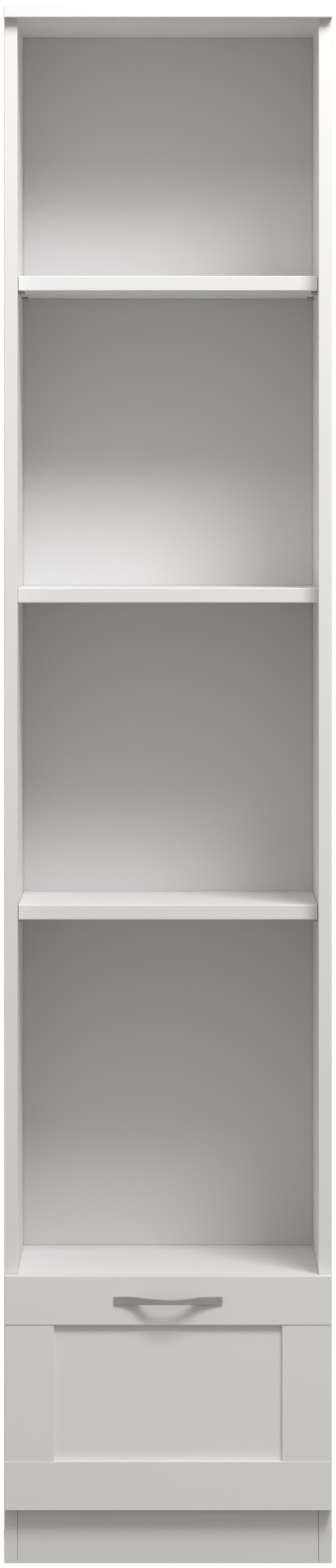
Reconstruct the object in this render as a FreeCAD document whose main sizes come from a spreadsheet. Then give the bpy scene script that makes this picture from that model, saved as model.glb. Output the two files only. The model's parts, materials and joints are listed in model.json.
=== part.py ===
import FreeCAD, Part
import os
import re
import Sketcher

# A narrow, tall bookcase of laminated board: two loose shelves on pins, a fixed middle shelf,
# and one drawer at the bottom on roller runners, with a framed front and a bow handle.
# Millimetres. X runs across the front, -Y is the front, Z is up, and the floor is at zero.

Vector = FreeCAD.Vector

SIZES = {
    # carcass boards
    "cabinet_width": 400,
    "cabinet_height": 1900,
    "side_thickness": 16,
    "side_depth": 329,
    "top_thickness": 16,
    "shelf_thickness": 18,
    "cover_thickness": 16,
    "base_thickness": 16,
    "plinth_thickness": 16,
    "plinth_height": 70,
    "plinth_setback": 0.6,
    "plinth_gap": 0.5,
    "board_gap": 0.3,
    "back_thickness": 3,
    "back_inset": 1,
    "back_floor_gap": 72,
    "edge_radius": 1,
    # clear heights between the shelves, from the top down; the lowest one takes what is left
    "upper_clear": 313,
    "second_clear": 364,
    "third_clear": 370,
    "cover_height": 336,
    "shelf_setback": 32,
    "shelf_end_gap": 0.75,
    "shelf_back_gap": 1,
    # shelf pins and their rows of holes
    "pin_radius": 2.5,
    "pin_reach": 8,
    "pin_seat": 8,
    "pin_flat": 1,
    "pin_front_inset": 27,
    "pin_rear_inset": 60,
    "pin_pitch": 32,
    # screws through the sides
    "bore_clearance": 0.1,
    "screw_shank_radius": 3.5,
    "screw_thread_radius": 2.5,
    "screw_length": 50,
    "screw_inset": 60,
    # cams, bolts and dowels under the top
    "cam_radius": 7.5,
    "cam_depth": 12,
    "cam_drop": 34,
    "cam_slot": 1.6,
    "cam_bolt_radius": 3,
    "cam_bolt_seat": 10,
    "dowel_radius": 4,
    "dowel_length": 30,
    "dowel_seat": 10,
    "dowel_offset": 32,
    # drawer front, a frame round a panel
    "front_drop": 3,
    "front_thickness": 16,
    "front_gap": 2,
    "front_reveal": 1,
    "front_rise": 0.5,
    "rail_height": 60,
    "stile_width": 60,
    "stile_step": 0.8,
    "stile_gap": 0.2,
    "panel_recess": 6.5,
    "panel_thickness": 4,
    "panel_groove": 6,
    "panel_float": 0.5,
    "frame_dowel_radius": 3,
    "frame_dowel_length": 30,
    "frame_dowel_inset": 17,
    # bow handle
    "handle_length": 132,
    "handle_projection": 20,
    "handle_tip": 2.4,
    "handle_strap": 3.2,
    "handle_foot": 26,
    "handle_height": 10,
    "handle_waist": 1.9,
    "handle_spacing": 96,
    "handle_thread": 4,
    "handle_screw_radius": 2,
    "handle_screw_head": 4,
    "handle_screw_crown": 2.4,
    # drawer box
    "runner_space": 12.5,
    "box_rear_gap": 31,
    "box_height": 170,
    "box_board": 16,
    "box_lift": 14,
    "bottom_thickness": 3,
    "bottom_inset": 12,
    "bottom_groove": 8,
    "groove_clearance": 0.1,
    "box_screw_radius": 2,
    "box_screw_length": 40,
    "box_screw_inset": 40,
    "box_screw_head": 4,
    "fixing_radius": 2,
    "fixing_depth": 10,
    "fixing_head": 3.5,
    "fixing_crown": 1.5,
    "fixing_low_rise": 6,
    "fixing_low_offset": 100,
    "fixing_high_rise": 80,
    # roller runners
    "runner_setback": 2,
    "runner_steel": 1.2,
    "channel_rise": 0.5,
    "channel_lip_gap": 1.3,
    "channel_notch": 30,
    "flange_play": 1.8,
    "flange_gap": 2.4,
    "ledge_reach": 12,
    "roller_radius": 8,
    "roller_width": 5,
    "roller_hub": 4.5,
    "roller_boss": 1,
    "roller_gap": 0.2,
    "roller_play": 0.5,
    "roller_inset": 12,
    "axle_radius": 2.5,
    "axle_clearance": 0.05,
    "axle_head": 4,
    "axle_crown": 0.8,
    "runner_screw_radius": 1.7,
    "runner_screw_head": 3.2,
    "runner_screw_crown": 1.2,
    "runner_screw_length": 12,
    "runner_screw_inset": 42,
    "ledge_screw_length": 9,
    "ledge_screw_inset": 60,
}

PLACES = {
    # across
    "outer_half": "cabinet_width / 2",
    "inner_half": "cabinet_width / 2 - side_thickness",
    "side_middle": "cabinet_width / 2 - side_thickness / 2",
    "front_half": "cabinet_width / 2 - front_reveal",
    "stile_inner": "front_half - stile_width",
    "panel_half": "stile_inner + panel_groove - panel_float",
    "box_half": "inner_half - runner_space",
    "box_inner": "box_half - box_board",
    "web_inner": "inner_half - runner_steel",
    "web_outer": "box_half + runner_steel",
    "channel_lip": "web_outer + channel_lip_gap",
    "flange_end": "web_inner - flange_play",
    # front to back, with the handle counted in the depth
    "whole_depth": "handle_projection + front_thickness + front_gap + side_depth + back_thickness",
    "rail_face": "handle_projection - whole_depth / 2",
    "stile_face": "rail_face + stile_step",
    "panel_face": "rail_face + panel_recess",
    "front_back": "rail_face + front_thickness",
    "side_front": "front_back + front_gap",
    "side_rear": "side_front + side_depth",
    "rear_face": "side_rear + back_thickness",
    "shelf_front": "side_front + shelf_setback",
    "shelf_rear": "side_rear - shelf_back_gap",
    "pin_front": "shelf_front + pin_front_inset",
    "pin_rear": "shelf_rear - pin_rear_inset",
    "screw_front": "side_front + screw_inset",
    "screw_rear": "side_rear - screw_inset",
    "plinth_face": "side_front + plinth_setback",
    "plinth_front_middle": "plinth_face + plinth_thickness / 2",
    "plinth_rear_middle": "side_rear - plinth_thickness / 2",
    "box_rear": "side_rear - box_rear_gap",
    "box_length": "box_rear - front_back",
    "box_inner_front": "front_back + box_board",
    "box_inner_rear": "box_rear - box_board",
    "channel_front": "side_front + runner_setback",
    "channel_rear": "channel_front + box_length",
    "front_axle_y": "channel_front + roller_inset",
    "rear_axle_y": "box_rear - roller_inset",
    "frame_dowel_y": "stile_face + (front_thickness - stile_step) / 2",
    # heights
    "side_top": "cabinet_height - top_thickness",
    "upper_shelf_height": "side_top - upper_clear - shelf_thickness",
    "fixed_shelf_height": "upper_shelf_height - second_clear - shelf_thickness",
    "lower_shelf_height": "fixed_shelf_height - third_clear - shelf_thickness",
    "fixed_top": "fixed_shelf_height + shelf_thickness",
    "fixed_middle": "fixed_shelf_height + shelf_thickness / 2",
    "cover_top": "cover_height + cover_thickness",
    "cover_middle": "cover_height + cover_thickness / 2",
    "base_top": "plinth_height + base_thickness",
    "base_middle": "plinth_height + base_thickness / 2",
    "plinth_middle": "plinth_height / 2",
    "pin_drop": "pin_radius - pin_flat",
    "cam_axis": "side_top - cam_drop",
    "front_top": "cover_top + front_rise",
    "front_floor": "plinth_height - front_drop",
    "rail_low": "front_floor + rail_height",
    "rail_high": "front_top - rail_height",
    "handle_axis": "front_top - rail_height / 2",
    "box_floor": "base_top + box_lift",
    "box_top": "box_floor + box_height",
    "bottom_low": "box_floor + bottom_inset",
    "bottom_high": "bottom_low + bottom_thickness",
    "channel_floor": "box_floor + channel_rise",
    "axle_z": "channel_floor + roller_gap + roller_radius",
    "flange_low": "axle_z + roller_radius + roller_gap",
    "flange_high": "flange_low + runner_steel",
    "channel_ceiling": "flange_high + flange_gap",
    # handle curves: two equal arcs from tip to middle, one arc inside, one along each edge
    "handle_half": "handle_length / 2",
    "handle_rise": "handle_projection - handle_tip",
    "bow_radius": "(handle_half ^ 2 + handle_rise ^ 2) / (4 * handle_rise)",
    "grip_half": "handle_half - handle_foot",
    "grip_rise": "handle_projection - handle_strap",
    "grip_radius": "(grip_half ^ 2 + grip_rise ^ 2) / (2 * grip_rise)",
    "waist_half": "handle_spacing / 2",
    "waist_radius": "(waist_half ^ 2 + handle_waist ^ 2) / (2 * handle_waist)",
    "handle_low": "handle_axis - handle_height / 2",
    "handle_high": "handle_axis + handle_height / 2",
}

doc = FreeCAD.newDocument("bookcase")
sheet = doc.addObject("Spreadsheet::Sheet", "sizes")
cells = {name: str(size) for name, size in SIZES.items()}
cells.update({name: "=" + formula for name, formula in PLACES.items()})
for row, (name, content) in enumerate(cells.items(), 1):
    sheet.set(f"A{row}", name)
    sheet.set(f"B{row}", content)
    sheet.setAlias(f"B{row}", name)
doc.recompute()

PLANE_ACROSS = {"X": "YZ_Plane", "Y": "XZ_Plane", "Z": "XY_Plane"}
# A sketch across Y looks towards the front, so its normal is -Y.
NORMAL_SIGN = {"X": 1, "Y": -1, "Z": 1}
HALF_TURN = FreeCAD.Rotation(Vector(0, 0, 1), 180)
UPRIGHT = FreeCAD.Rotation(Vector(0, 1, 0), -90)
FORWARD = FreeCAD.Rotation(Vector(0, 0, 1), -90)
AS_DRAWN = FreeCAD.Rotation()
# Counts of flat sides on small rods and their bores: more where they show.
SIDE_COUNT_SHOWN = 12
SIDE_COUNT_HIDDEN = 6
# Lays a rod that stands on its end along X, with one corner of its section up.
ALONG_X = FreeCAD.Rotation(Vector(0, 1, 0), 90)


def from_sheet(formula):
    """The formula with every size in it read from the sheet."""
    return re.sub(r"[a-z_]+", lambda word: "sizes." + word.group(0), str(formula))


def number(formula):
    """The formula's value now."""
    return float(sheet.evalExpression(from_sheet(formula)))


def bind(item, prop, formula):
    item.setExpression(prop, from_sheet(formula))


def negative(formula):
    return f"-({formula})"


def new_body(name):
    body = doc.addObject("PartDesign::Body", name)
    body.Label = name
    return body


def add_feature(body, kind):
    return body.newObject("PartDesign::" + kind, body.Name + "_" + kind.lower())


def fit_box(feature, x, y, z):
    """Sizes and places a box feature between pairs of formulas."""
    for prop, axis, (low, high) in zip(("Length", "Width", "Height"), "xyz", (x, y, z)):
        bind(feature, prop, f"({high}) - ({low})")
        bind(feature, "Placement.Base." + axis, low)


def board(name, x, y, z):
    """A rectangular board between pairs of formulas along each axis."""
    body = new_body(name)
    fit_box(add_feature(body, "AdditiveBox"), x, y, z)
    doc.recompute()
    return body


def across(half):
    """From minus a half width to plus it."""
    return negative(half), half


def soften(body, *edges):
    """Rounds edges, each named by the two faces that meet there, such as 'front top'."""
    base = body.Tip
    box = base.Shape.BoundBox
    faces = {
        "left": ("x", box.XMin),
        "right": ("x", box.XMax),
        "front": ("y", box.YMin),
        "back": ("y", box.YMax),
        "bottom": ("z", box.ZMin),
        "top": ("z", box.ZMax),
    }
    chosen = []
    for pair in edges:
        limits = [faces[face] for face in pair.split()]
        for index, edge in enumerate(base.Shape.Edges, 1):
            centre = edge.BoundBox.Center
            if all(abs(getattr(centre, axis) - place) < 1e-6 for axis, place in limits):
                chosen.append(f"Edge{index}")
    fillet = add_feature(body, "Fillet")
    fillet.Base = (base, chosen)
    bind(fillet, "Radius", "edge_radius")
    doc.recompute()


def sketch_across(body, axis, place, origin=("0", "0")):
    """A sketch square to an axis at a place along it, its own origin moved within that plane."""
    plane = next(item for item in body.Origin.OriginFeatures if item.Role == PLANE_ACROSS[axis])
    sketch = body.newObject("Sketcher::SketchObject", body.Name + "_sketch")
    sketch.AttachmentSupport = (plane, [""])
    sketch.MapMode = "FlatFace"
    offset = place if NORMAL_SIGN[axis] > 0 else negative(place)
    for part, formula in zip("xyz", (*origin, offset)):
        bind(sketch, "AttachmentOffset.Base." + part, formula)
    return sketch


def fix(sketch, kind, geometry, point, formula):
    """Ties one point of a geometry to a distance from the sketch's origin."""
    index = sketch.addConstraint(Sketcher.Constraint(kind, -1, 1, geometry, point, number(formula)))
    bind(sketch, f"Constraints[{index}]", formula)


def fix_point(sketch, geometry, point, u, v):
    fix(sketch, "DistanceX", geometry, point, u)
    fix(sketch, "DistanceY", geometry, point, v)


def outline(sketch, corners):
    """A closed outline of straight lines through corners given as pairs of formulas."""
    spots = [Vector(number(u), number(v), 0) for u, v in corners]
    for here, there in zip(spots, spots[1:] + spots[:1]):
        sketch.addGeometry(Part.LineSegment(here, there), False)
    for index, (u, v) in enumerate(corners):
        following = (index + 1) % len(corners)
        sketch.addConstraint(Sketcher.Constraint("Coincident", index, 2, following, 1))
        fix_point(sketch, index, 1, u, v)


def circles(sketch, radius, centres):
    """Equal circles at pairs of formulas."""
    for u, v in centres:
        circle = Part.Circle(Vector(number(u), number(v), 0), Vector(0, 0, 1), number(radius))
        index = sketch.addGeometry(circle, False)
        fix_point(sketch, index, 3, u, v)
        size = sketch.addConstraint(Sketcher.Constraint("Radius", index, number(radius)))
        bind(sketch, f"Constraints[{size}]", radius)


def pad(body, sketch, length):
    """Thickens a sketch along its normal."""
    feature = add_feature(body, "Pad")
    feature.Profile = sketch
    bind(feature, "Length", length)
    doc.recompute()


def expect_less(body, volume):
    """A cut that points away from its solid takes nothing off and shows no error."""
    if body.Shape.Volume > volume - 1e-6:
        raise RuntimeError("a cut missed " + body.Label)


def cut(body, sketch, axis, towards, depth):
    """Cuts a sketch into the body, towards +1 or -1 along the axis."""
    volume = body.Shape.Volume
    feature = add_feature(body, "Pocket")
    feature.Profile = sketch
    bind(feature, "Length", depth)
    feature.Reversed = towards * NORMAL_SIGN[axis] > 0
    doc.recompute()
    expect_less(body, volume)


def drill(body, axis, place, towards, depth, radius, centres):
    """Round holes from a place along an axis; centres are pairs along the other two axes."""
    sketch = sketch_across(body, axis, place)
    circles(sketch, radius, centres)
    cut(body, sketch, axis, towards, depth)


def trench(body, x, y, z):
    """A rectangular groove or notch."""
    volume = body.Shape.Volume
    fit_box(add_feature(body, "SubtractiveBox"), x, y, z)
    doc.recompute()
    expect_less(body, volume)


def turned(name, stations, origin=("0", "0", "0")):
    """A piece turned about a line along X: stations are (x, radius), from axis back to axis or bore."""
    body = new_body(name)
    x, y, z = origin
    sketch = sketch_across(body, "Y", y, (x, z))
    outline(sketch, stations)
    feature = add_feature(body, "Revolution")
    feature.Profile = sketch
    feature.ReferenceAxis = (sketch, ["H_Axis"])
    feature.Angle = 360
    doc.recompute()
    return body


def add_steps(body, side_count, steps):
    """A small rod with flat sides along +X, in steps of (start, length, radius)."""
    for start, length, radius in steps:
        feature = add_feature(body, "AdditivePrism")
        feature.Polygon = round(side_count)
        feature.Placement = FreeCAD.Placement(Vector(), ALONG_X)
        bind(feature, "Circumradius", radius)
        bind(feature, "Height", length)
        bind(feature, "Placement.Base.x", start)
    doc.recompute()
    return body


def stepped(name, side_count, steps):
    return add_steps(new_body(name), side_count, steps)


def headed(head_radius, head_height, radius, length):
    """Steps of a headed fastener: its head ends at zero and its shank starts there."""
    return [(negative(head_height), head_height, head_radius), ("0", length, radius)]


def mirrored(name, source):
    """The left-hand twin of a right-hand piece."""
    twin = doc.addObject("Part::Mirroring", name)
    twin.Source = source
    twin.Normal = (1, 0, 0)
    doc.recompute()
    return twin


def group(name, pattern, placings):
    """Copies of one piece, as (x, y, z, turn), kept together as separate solids."""
    copies = []
    for index, (x, y, z, turn) in enumerate(placings):
        copy = doc.addObject("App::Link", f"{name}_{index}")
        copy.LinkedObject = pattern
        copy.Placement = FreeCAD.Placement(Vector(), turn)
        for axis, formula in zip("xyz", (x, y, z)):
            bind(copy, "Placement.Base." + axis, formula)
        copies.append(copy)
    gathered = doc.addObject("Part::Compound", name)
    gathered.Links = copies
    doc.recompute()
    return gathered


def both_sides(x, spots, right_turn, left_turn):
    """Placings at +x and -x for spots of (y, z)."""
    right = [(x, y, z, right_turn) for y, z in spots]
    left = [(negative(x), y, z, left_turn) for y, z in spots]
    return right + left


def bores(name, side_count, steps, placings):
    """The room that rods need: the same steps a clearance wider, and longer at both ends."""
    roomy = [(start, length, f"{radius} + bore_clearance") for start, length, radius in steps]
    start, length, radius = roomy[0]
    roomy[0] = (f"{start} - bore_clearance", f"{length} + bore_clearance", radius)
    start, length, radius = roomy[-1]
    roomy[-1] = (start, f"{length} + bore_clearance", radius)
    return group(name + "_bores", stepped(name + "_bore", side_count, roomy), placings)


def fasteners(name, steps, placings):
    """Hidden rods of one kind, and their bores."""
    rods = group(name, stepped(name + "_pattern", SIDE_COUNT_HIDDEN, steps), placings)
    return rods, bores(name, SIDE_COUNT_HIDDEN, steps, placings)


def bored(name, blank, *tools):
    """The blank of a piece with the bores of all that passes through it."""
    piece = blank
    for tool in tools:
        volume = piece.Shape.Volume
        opened = doc.addObject("Part::Cut", name + "_bored")
        opened.Base = piece
        opened.Tool = tool
        doc.recompute()
        expect_less(opened, volume)
        piece = opened
    piece.Label = name
    return piece


SCREWED_HEIGHTS = ("fixed_middle", "cover_middle", "base_middle")
PLINTH_SPOTS = [("plinth_front_middle", "plinth_middle"), ("plinth_rear_middle", "plinth_middle")]
SCREW_SPOTS = [(y, z) for z in SCREWED_HEIGHTS for y in ("screw_front", "screw_rear")] + PLINTH_SPOTS
PIN_DEPTHS = ("pin_front", "pin_rear")
PIN_ROWS = ("- pin_pitch", "", "+ pin_pitch")
TOP_FIXINGS = ("screw_front", "screw_rear")
RUNNER_SCREW_SPOTS = [
    (y, "(channel_floor + channel_ceiling) / 2")
    for y in (
        "channel_front + runner_screw_inset",
        "(channel_front + channel_rear) / 2",
        "channel_rear - runner_screw_inset",
    )
]
LEDGE_SCREW_DEPTHS = ("front_back + ledge_screw_inset", "box_rear - ledge_screw_inset")
BOX_SCREW_SPOTS = [
    (y, z)
    for y in ("front_back + box_board / 2", "box_rear - box_board / 2")
    for z in ("box_floor + box_screw_inset", "box_top - box_screw_inset")
]
FRAME_DOWEL_PLACES = ("stile_inner + frame_dowel_inset", "front_half - frame_dowel_inset")
FIXING_SPOTS = [
    ("fixing_low_offset", "box_floor + fixing_low_rise"),
    ("(panel_half + panel_float + box_inner) / 2", "rail_low + fixing_high_rise"),
]


def make_side():
    """The blank of the right-hand side board."""
    x = ("inner_half", "outer_half")
    side = board("side_blank", x, ("side_front", "side_rear"), ("0", "side_top"))
    soften(side, "front left", "front right")
    return side


def make_top():
    """The blank of the top, over the sides and the back, its front in line with the drawer front."""
    y = ("rail_face", "rear_face")
    top = board("top_blank", across("outer_half"), y, ("side_top", "cabinet_height"))
    soften(top, "front top", "front bottom", "front left", "front right", "left top", "right top")
    return top


def make_screwed_board(name, front, low, high):
    """The blank of a board that lies between the sides, held by screws at each end."""
    piece = board(name + "_blank", across("inner_half - board_gap"), (front, "side_rear"), (low, high))
    soften(piece, "front top", "front bottom")
    return piece


def make_plinth(name, front):
    """The blank of a plinth board on the floor between the sides, held by a screw at each end."""
    y = (front, f"{front} + plinth_thickness")
    return board(name + "_blank", across("inner_half - plinth_gap"), y, ("0", "plinth_height"))


def make_loose_shelf(name, height):
    y = ("shelf_front", "shelf_rear")
    shelf = board(name, across("inner_half - shelf_end_gap"), y, (height, f"{height} + shelf_thickness"))
    soften(shelf, "front top", "front bottom")
    return shelf


def make_pins():
    """Pins along +X, round in their holes and flat on top where a shelf lies; and rows of holes."""
    steps = [(negative("pin_seat"), "pin_seat + pin_reach", "pin_radius")]
    pin = stepped("shelf_pin", SIDE_COUNT_SHOWN, steps)
    trench(pin, ("0", "pin_reach"), across("pin_radius"), ("pin_drop", "pin_radius"))
    nodes = []
    holes = []
    for place in ("upper", "lower"):
        axis = f"{place}_shelf_height - pin_drop"
        spots = [(y, axis) for y in PIN_DEPTHS]
        nodes.append(group("shelf_pins_" + place, pin, both_sides("inner_half", spots, HALF_TURN, AS_DRAWN)))
        holes += [(y, f"{axis} {row}") for row in PIN_ROWS for y in PIN_DEPTHS]
    placings = both_sides("inner_half", holes, HALF_TURN, AS_DRAWN)
    return nodes, bores("shelf_pin", SIDE_COUNT_SHOWN, steps, placings)


def make_cams():
    """Cams in the sides, slotted on the face and open above for their bolts; and their pockets."""
    steps = [(negative("cam_depth"), "cam_depth", "cam_radius")]
    cam = stepped("top_cam", SIDE_COUNT_SHOWN, steps)
    room = "cam_bolt_radius + bore_clearance"
    bolt_x = (f"-side_thickness / 2 - ({room})", f"-side_thickness / 2 + {room}")
    trench(cam, bolt_x, across(room), ("0", "cam_radius"))
    trench(cam, (negative("cam_slot"), "0"), across("cam_radius - cam_slot"), across("cam_slot / 2"))
    spots = [(y, "cam_axis") for y in TOP_FIXINGS]
    placings = both_sides("inner_half", spots, HALF_TURN, AS_DRAWN)
    return group("top_cams", cam, placings), bores("top_cam", SIDE_COUNT_SHOWN, steps, placings)


def make_top_fixings():
    """Upright bolts that the cams draw down, and dowels beside them."""
    bolt_length = "cam_bolt_seat + cam_drop - groove_clearance"
    bolt_spots = [(y, "cam_axis + groove_clearance") for y in TOP_FIXINGS]
    bolts = fasteners(
        "top_cam_bolts",
        [("0", bolt_length, "cam_bolt_radius")],
        both_sides("side_middle", bolt_spots, UPRIGHT, UPRIGHT),
    )
    dowel_spots = [(f"{y} + dowel_offset", "side_top + dowel_seat - dowel_length") for y in TOP_FIXINGS]
    dowels = fasteners(
        "top_dowels",
        [("0", "dowel_length", "dowel_radius")],
        both_sides("side_middle", dowel_spots, UPRIGHT, UPRIGHT),
    )
    return bolts, dowels


def make_cabinet_runner():
    """The blank of the right-hand channel: a C section open to the drawer, its front opened above."""
    runner = new_body("runner_cabinet_blank")
    section = sketch_across(runner, "Y", "channel_rear")
    outline(
        section,
        [
            ("inner_half", "channel_floor - runner_steel"),
            ("inner_half", "channel_ceiling + runner_steel"),
            ("channel_lip", "channel_ceiling + runner_steel"),
            ("channel_lip", "channel_ceiling"),
            ("web_inner", "channel_ceiling"),
            ("web_inner", "channel_floor"),
            ("channel_lip", "channel_floor"),
            ("channel_lip", "channel_floor - runner_steel"),
        ],
    )
    pad(runner, section, "box_length")
    notch = ("channel_front", "channel_front + channel_notch")
    trench(runner, ("channel_lip", "web_inner"), notch, ("channel_ceiling", "channel_ceiling + runner_steel"))
    axle = [("front_axle_y", "axle_z")]
    drill(runner, "X", "web_inner", 1, "runner_steel", "axle_radius + axle_clearance", axle)
    return runner


def make_drawer_runner():
    """The blank of the right-hand drawer rail: ledge, web, and a flange that runs on the roller."""
    runner = new_body("runner_drawer_blank")
    section = sketch_across(runner, "Y", "box_rear")
    ledge = "web_outer - ledge_reach"
    outline(
        section,
        [
            (ledge, "box_floor - runner_steel"),
            ("web_outer", "box_floor - runner_steel"),
            ("web_outer", "flange_low"),
            ("flange_end", "flange_low"),
            ("flange_end", "flange_high"),
            ("box_half", "flange_high"),
            ("box_half", "box_floor"),
            (ledge, "box_floor"),
        ],
    )
    pad(runner, section, "box_length")
    axle = [("rear_axle_y", "axle_z")]
    drill(runner, "X", "box_half", 1, "runner_steel", "axle_radius + axle_clearance", axle)
    return runner


def make_roller():
    """A roller along +X, from the boss that keeps it off its web."""
    bore_radius = "axle_radius + axle_clearance"
    end = "roller_boss + roller_width"
    stations = [
        ("0", bore_radius),
        ("0", "roller_hub"),
        ("roller_boss", "roller_hub"),
        ("roller_boss", "roller_radius"),
        (end, "roller_radius"),
        (end, bore_radius),
    ]
    return turned("roller", stations)


def make_axle():
    """A roller's axle along +X, from the outside of its web to a head beyond the roller."""
    head = "runner_steel + roller_boss + roller_width + 2 * roller_play"
    axle = turned("roller_axle", [("0", "0"), ("0", "axle_radius"), (head, "axle_radius"), (head, "0")])
    return add_steps(axle, SIDE_COUNT_SHOWN, [(head, "axle_crown", "axle_head")])


def groove_room(low, high):
    """The room for the edge of a panel or bottom in its groove."""
    return f"{low} - groove_clearance", f"{high} + groove_clearance"


def make_rail(name, low, inner, inward):
    """The blank of a rail across the front; inward is the way from its inner edge to the panel."""
    y = ("rail_face", "front_back")
    rail = board(name + "_blank", across("front_half"), y, (low, f"{low} + rail_height"))
    soften(rail, "front top", "front bottom", "front left", "front right")
    groove_end = f"{inner} {'-' if inward > 0 else '+'} panel_groove"
    heights = (groove_end, inner) if inward > 0 else (inner, groove_end)
    panel_depths = groove_room("panel_face", "panel_face + panel_thickness")
    trench(rail, across("panel_half + panel_float"), panel_depths, heights)
    return rail


def make_stile():
    """The blank of the right-hand stile between the rails, a little behind their faces."""
    x = ("stile_inner", "front_half")
    heights = ("rail_low + stile_gap", "rail_high - stile_gap")
    stile = board("stile_blank", x, ("stile_face", "front_back"), heights)
    soften(stile, "front left", "front right")
    panel_depths = groove_room("panel_face", "panel_face + panel_thickness")
    trench(stile, ("stile_inner", "stile_inner + panel_groove"), panel_depths, heights)
    return stile


def make_frame_dowels():
    """Upright dowels across the four seams of the frame."""
    spots = [
        ("frame_dowel_y", "rail_low + stile_gap / 2 - frame_dowel_length / 2"),
        ("frame_dowel_y", "rail_high - stile_gap / 2 - frame_dowel_length / 2"),
    ]
    placings = []
    for x in FRAME_DOWEL_PLACES:
        placings += both_sides(x, spots, UPRIGHT, UPRIGHT)
    return fasteners("frame_dowels", [("0", "frame_dowel_length", "frame_dowel_radius")], placings)


def make_panel():
    """The recessed panel, with its edges in the frame's grooves."""
    heights = ("rail_low - panel_groove + panel_float", "rail_high + panel_groove - panel_float")
    return board("front_panel", across("panel_half"), ("panel_face", "panel_face + panel_thickness"), heights)


def arc(sketch, centre, radius, start, end):
    """An arc by its centre, radius and end points, run anticlockwise from start to end."""
    spots = [Vector(number(u), number(v), 0) for u, v in (centre, start, end)]
    circle = Part.Circle(spots[0], Vector(0, 0, 1), number(radius))
    first, last = (circle.parameter(spot) for spot in spots[1:])
    return sketch.addGeometry(Part.ArcOfCircle(circle, first, last), False)


def line(sketch, start, end):
    spots = [Vector(number(u), number(v), 0) for u, v in (start, end)]
    return sketch.addGeometry(Part.LineSegment(*spots), False)


def join(sketch, one, one_end, other, other_end):
    sketch.addConstraint(Sketcher.Constraint("Coincident", one, one_end, other, other_end))


START, END, CENTRE = 1, 2, 3


def draw_bow(sketch):
    """The handle seen from above: an S of two equal arcs on each side, feet on the rail, one arc inside."""
    left = negative("handle_half")
    crest = ("0", "rail_face - handle_projection + bow_radius")
    bend_y = "rail_face - handle_tip - handle_rise / 2"
    bend_left = (negative("handle_half / 2"), bend_y)
    bend_right = ("handle_half / 2", bend_y)
    tip_y = "rail_face - handle_tip"
    hollow_y = "rail_face - handle_tip - bow_radius"
    middle = arc(sketch, crest, "bow_radius", bend_left, bend_right)
    hollow_left = arc(sketch, (left, hollow_y), "bow_radius", bend_left, (left, tip_y))
    hollow_right = arc(sketch, ("handle_half", hollow_y), "bow_radius", ("handle_half", tip_y), bend_right)
    grip = arc(
        sketch,
        ("0", "rail_face - grip_rise + grip_radius"),
        "grip_radius",
        (negative("grip_half"), "rail_face"),
        ("grip_half", "rail_face"),
    )
    tip_left = line(sketch, (left, tip_y), (left, "rail_face"))
    foot_left = line(sketch, (left, "rail_face"), (negative("grip_half"), "rail_face"))
    foot_right = line(sketch, ("grip_half", "rail_face"), ("handle_half", "rail_face"))
    tip_right = line(sketch, ("handle_half", "rail_face"), ("handle_half", tip_y))
    size = sketch.addConstraint(Sketcher.Constraint("Radius", middle, number("bow_radius")))
    bind(sketch, f"Constraints[{size}]", "bow_radius")
    fix_point(sketch, middle, CENTRE, *crest)
    fix(sketch, "DistanceX", middle, START, bend_left[0])
    fix(sketch, "DistanceX", middle, END, bend_right[0])
    join(sketch, hollow_left, START, middle, START)
    fix_point(sketch, hollow_left, CENTRE, left, hollow_y)
    fix(sketch, "DistanceX", hollow_left, END, left)
    join(sketch, hollow_right, END, middle, END)
    fix_point(sketch, hollow_right, CENTRE, "handle_half", hollow_y)
    fix(sketch, "DistanceX", hollow_right, START, "handle_half")
    join(sketch, tip_left, START, hollow_left, END)
    fix_point(sketch, tip_left, END, left, "rail_face")
    join(sketch, foot_left, START, tip_left, END)
    fix_point(sketch, foot_left, END, negative("grip_half"), "rail_face")
    join(sketch, grip, START, foot_left, END)
    join(sketch, grip, END, foot_right, START)
    fix(sketch, "DistanceY", grip, CENTRE, "rail_face - grip_rise + grip_radius")
    fix_point(sketch, foot_right, START, "grip_half", "rail_face")
    join(sketch, foot_right, END, tip_right, START)
    fix_point(sketch, tip_right, START, "handle_half", "rail_face")
    join(sketch, tip_right, END, hollow_right, START)


def draw_waist(sketch, edge, side):
    """A thin circle segment that narrows the strap towards its middle; side is +1 above, -1 below."""
    depth = "handle_waist" if side > 0 else negative("handle_waist")
    radius = "waist_radius" if side > 0 else negative("waist_radius")
    centre = ("0", f"{edge} - {depth} + {radius}")
    left = (negative("waist_half"), edge)
    right = ("waist_half", edge)
    ends = (left, right) if side > 0 else (right, left)
    curve = arc(sketch, centre, "waist_radius", *ends)
    chord = line(sketch, *reversed(ends))
    fix_point(sketch, chord, START, *ends[1])
    fix_point(sketch, chord, END, *ends[0])
    join(sketch, curve, START, chord, END)
    join(sketch, curve, END, chord, START)
    fix(sketch, "DistanceY", curve, CENTRE, centre[1])


def make_handle():
    """The blank of the bow handle: a strap on solid feet, narrower at the middle."""
    handle = new_body("handle_blank")
    bow = sketch_across(handle, "Z", "handle_low")
    draw_bow(bow)
    pad(handle, bow, "handle_height")
    for edge, side in (("handle_high", 1), ("handle_low", -1)):
        waist = sketch_across(handle, "Y", "rail_face")
        draw_waist(waist, edge, side)
        cut(handle, waist, "Y", -1, "handle_projection")
    return handle


def make_box_side():
    """The blank of the right-hand side of the drawer box, grooved for the bottom."""
    y = ("front_back", "box_rear")
    side = board("box_side_blank", ("box_inner", "box_half"), y, ("box_floor", "box_top"))
    soften(side, "left top", "right top")
    groove = groove_room("bottom_low", "bottom_high")
    trench(side, ("box_inner", "box_inner + bottom_groove"), y, groove)
    return side


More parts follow.
